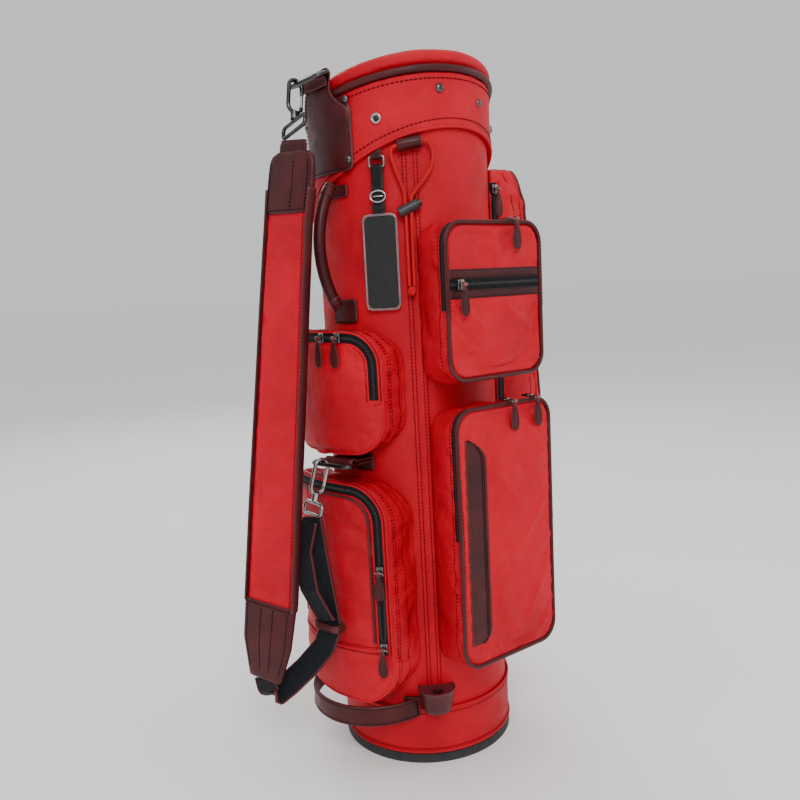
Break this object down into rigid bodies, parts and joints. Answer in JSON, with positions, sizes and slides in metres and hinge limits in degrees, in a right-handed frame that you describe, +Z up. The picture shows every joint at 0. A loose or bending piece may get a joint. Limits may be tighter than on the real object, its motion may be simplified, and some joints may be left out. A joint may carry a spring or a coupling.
{
  "type": "golf staff bag",
  "caption": "Tall round golf bag with a padded slanted rim, leather trim, zipped wrap-round pockets, a clip-on shoulder strap, umbrella cord and luggage tag.",
  "frame": {"origin": "centre of the base's underside, on the floor", "axes": "+Z up; the two large front pockets face -Y; the shoulder strap hangs on -X; the garment pocket is on +X"},
  "size_m": [0.4444, 0.3096, 0.8918],
  "materials": {
    "nylon": "woven nylon, satin",
    "base_nylon": "woven nylon band, satin",
    "pad_nylon": "padded nylon, satin",
    "leather": "oiled grain leather",
    "pull_leather": "cut leather, light edge",
    "strap_leather": "leather faced strap with a dark woven lining",
    "moulded_rubber": "moulded, matt",
    "maroon_plastic": "moulded, matt",
    "zip_tape": "woven tape with coil teeth",
    "gunmetal": "polished dark nickel",
    "nickel": "polished nickel",
    "divider_plastic": "moulded with a fabric cover",
    "divider_cloth": "plain woven lining",
    "fibreglass": "pultruded rod",
    "elastic_cord": "braided elastic",
    "black_plastic": "moulded",
    "tag_vinyl": "clear sleeve over a plain dark card"
  },
  "bodies": {
    "root": {"base_cup": "moulded_rubber", "base_band": "base_nylon", "body_shell": "nylon", "cuff_shell": "nylon", "rim_piping": "leather", "rim_roll": "nylon", "divider_frame": "divider_plastic", "divider_walls": "divider_cloth", "stay_rods": "fibreglass", "umbrella_cup": "maroon_plastic", "front_upper_pouch": "nylon", "front_lower_pouch": "nylon", "front_upper_zip": "zip_tape", "front_lower_zip": "zip_tape", "side_upper_pouch": "nylon", "side_upper_zip": "zip_tape", "side_lower_pouch": "nylon", "side_lower_zip": "zip_tape", "garment_pouch": "nylon", "garment_zip": "zip_tape", "strap_patch": "leather", "cuff_studs": "nickel", "top_ring": "gunmetal", "lower_ring": "gunmetal", "side_tabs": "leather", "base_handle": "leather", "cord_tube": "leather", "cord_left": "elastic_cord", "cord_right": "elastic_cord", "cord_knot": "elastic_cord"},
    "shoulder_strap": {"strap_pad": "pad_nylon", "strap_webbing": "strap_leather", "strap_keeper": "gunmetal", "upper_hook": "gunmetal", "lower_hook": "gunmetal"},
    "upper_gate": {"upper_gate": "gunmetal"},
    "lower_gate": {"lower_gate": "gunmetal"},
    "grip": {"grip": "leather"},
    "tag_ring": {"tag_ring": "gunmetal"},
    "luggage_tag": {"luggage_tag": "tag_vinyl"},
    "cord_lock": {"cord_lock": "black_plastic"},
    "cord_button": {"cord_button": "black_plastic"},
    "front_upper_slider": {"front_upper_slider": "gunmetal"},
    "front_upper_pull": {"front_upper_pull": "pull_leather"},
    "chest_slider": {"chest_slider": "gunmetal"},
    "chest_pull": {"chest_pull": "pull_leather"},
    "front_lower_left_slider": {"front_lower_left_slider": "gunmetal"},
    "front_lower_left_pull": {"front_lower_left_pull": "pull_leather"},
    "front_lower_right_slider": {"front_lower_right_slider": "gunmetal"},
    "front_lower_right_pull": {"front_lower_right_pull": "pull_leather"},
    "side_upper_left_slider": {"side_upper_left_slider": "gunmetal"},
    "side_upper_left_pull": {"side_upper_left_pull": "pull_leather"},
    "side_upper_right_slider": {"side_upper_right_slider": "gunmetal"},
    "side_upper_right_pull": {"side_upper_right_pull": "pull_leather"},
    "side_lower_top_slider": {"side_lower_top_slider": "gunmetal"},
    "side_lower_top_pull": {"side_lower_top_pull": "pull_leather"},
    "side_lower_bottom_slider": {"side_lower_bottom_slider": "gunmetal"},
    "side_lower_bottom_pull": {"side_lower_bottom_pull": "pull_leather"},
    "garment_slider": {"garment_slider": "gunmetal"},
    "garment_pull": {"garment_pull": "pull_leather"}
  },
  "joints": [
    {"name": "strap_swing", "type": "hinge", "parent": "root", "child": "shoulder_strap", "pos_m": [-0.14419, 0.014, 0.86316], "axis": [0.0466, 0.0845, 0.9953], "range_deg": [-22, 8]},
    {"name": "upper_gate_open", "type": "hinge", "parent": "shoulder_strap", "child": "upper_gate", "pos_m": [-0.14257, 0.00727, 0.83457], "axis": [0.0625, -0.9707, 0.2321], "range_deg": [0, 25], "stiffness_Nm_per_rad": 0.02},
    {"name": "lower_gate_open", "type": "hinge", "parent": "shoulder_strap", "child": "lower_gate", "pos_m": [-0.16549, -0.0249, 0.37559], "axis": [0, -1, 0], "range_deg": [0, 25], "stiffness_Nm_per_rad": 0.02},
    {"name": "grip_swing", "type": "hinge", "parent": "root", "child": "grip", "pos_m": [-0.12445, -0.01971, 0.668], "axis": [0, 0, 1], "range_deg": [-20, 20]},
    {"name": "tag_ring_swing", "type": "hinge", "parent": "root", "child": "tag_ring", "pos_m": [-0.09377, -0.07326, 0.769], "axis": [-0.6157, 0.788, 0], "range_deg": [0, 70]},
    {"name": "tag_swing", "type": "hinge", "parent": "tag_ring", "child": "luggage_tag", "pos_m": [-0.09377, -0.07326, 0.757], "axis": [-0.6157, 0.788, 0], "range_deg": [0, 60]},
    {"name": "cord_lock_slide", "type": "slide", "parent": "root", "child": "cord_lock", "axis": [0, 0, 1], "range_m": [-0.012, 0]},
    {"name": "cord_button_press", "type": "slide", "parent": "cord_lock", "child": "cord_button", "axis": [-0.7424, 0.5198, -0.4226], "range_m": [0, 0.002], "stiffness_N_per_m": 400},
    {"name": "front_upper_zip", "type": "slide", "parent": "root", "child": "front_upper_slider", "axis": [1, 0, 0], "range_m": [-0.078, 0.015]},
    {"name": "front_upper_pull_flip", "type": "hinge", "parent": "front_upper_slider", "child": "front_upper_pull", "pos_m": [0.03, -0.1775, 0.6885], "axis": [-1, 0, 0], "range_deg": [0, 110]},
    {"name": "chest_zip", "type": "slide", "parent": "root", "child": "chest_slider", "axis": [1, 0, 0], "range_m": [-0.004, 0.116]},
    {"name": "chest_pull_flip", "type": "hinge", "parent": "chest_slider", "child": "chest_pull", "pos_m": [-0.058, -0.17955, 0.615], "axis": [-1, 0, 0], "range_deg": [0, 110]},
    {"name": "front_lower_left_zip", "type": "slide", "parent": "root", "child": "front_lower_left_slider", "axis": [1, 0, 0], "range_m": [-0.056, 0.006]},
    {"name": "front_lower_left_pull_flip", "type": "hinge", "parent": "front_lower_left_slider", "child": "front_lower_left_pull", "pos_m": [0.01, -0.1845, 0.4745], "axis": [-1, 0, 0], "range_deg": [0, 110]},
    {"name": "front_lower_right_zip", "type": "slide", "parent": "root", "child": "front_lower_right_slider", "axis": [1, 0, 0], "range_m": [-0.014, 0.002]},
    {"name": "front_lower_right_pull_flip", "type": "hinge", "parent": "front_lower_right_slider", "child": "front_lower_right_pull", "pos_m": [0.05, -0.1845, 0.4745], "axis": [-1, 0, 0], "range_deg": [0, 110]},
    {"name": "side_upper_left_zip", "type": "hinge", "parent": "root", "child": "side_upper_left_slider", "pos_m": [0, 0, 0.559], "axis": [0, 0, 1], "range_deg": [-24, 1.5]},
    {"name": "side_upper_left_pull_flip", "type": "hinge", "parent": "side_upper_left_slider", "child": "side_upper_left_pull", "pos_m": [-0.15791, -0.01939, 0.559], "axis": [-0.1219, 0.9925, 0], "range_deg": [0, 35]},
    {"name": "side_upper_right_zip", "type": "hinge", "parent": "root", "child": "side_upper_right_slider", "pos_m": [0, 0, 0.559], "axis": [0, 0, 1], "range_deg": [-2, 1.5]},
    {"name": "side_upper_right_pull_flip", "type": "hinge", "parent": "side_upper_right_slider", "child": "side_upper_right_pull", "pos_m": [-0.15215, -0.04652, 0.559], "axis": [-0.2924, 0.9563, 0], "range_deg": [0, 35]},
    {"name": "side_lower_top_zip", "type": "slide", "parent": "root", "child": "side_lower_top_slider", "axis": [0, 0, 1], "range_m": [-0.03, 0.05]},
    {"name": "side_lower_top_pull_flip", "type": "hinge", "parent": "side_lower_top_slider", "child": "side_lower_top_pull", "pos_m": [-0.14019, -0.09456, 0.276], "axis": [-0.5592, 0.829, 0], "range_deg": [0, 110]},
    {"name": "side_lower_bottom_zip", "type": "slide", "parent": "root", "child": "side_lower_bottom_slider", "axis": [0, 0, 1], "range_m": [-0.006, 0.03]},
    {"name": "side_lower_bottom_pull_flip", "type": "hinge", "parent": "side_lower_bottom_slider", "child": "side_lower_bottom_pull", "pos_m": [-0.14019, -0.09456, 0.178], "axis": [-0.5592, 0.829, 0], "range_deg": [0, 110]},
    {"name": "garment_zip", "type": "slide", "parent": "root", "child": "garment_slider", "axis": [0, 0, 1], "range_m": [-0.52, 0.003]},
    {"name": "garment_pull_flip", "type": "hinge", "parent": "garment_slider", "child": "garment_pull", "pos_m": [0.085, -0.0929, 0.735], "axis": [-1, 0, 0], "range_deg": [0, 110]}
  ]
}
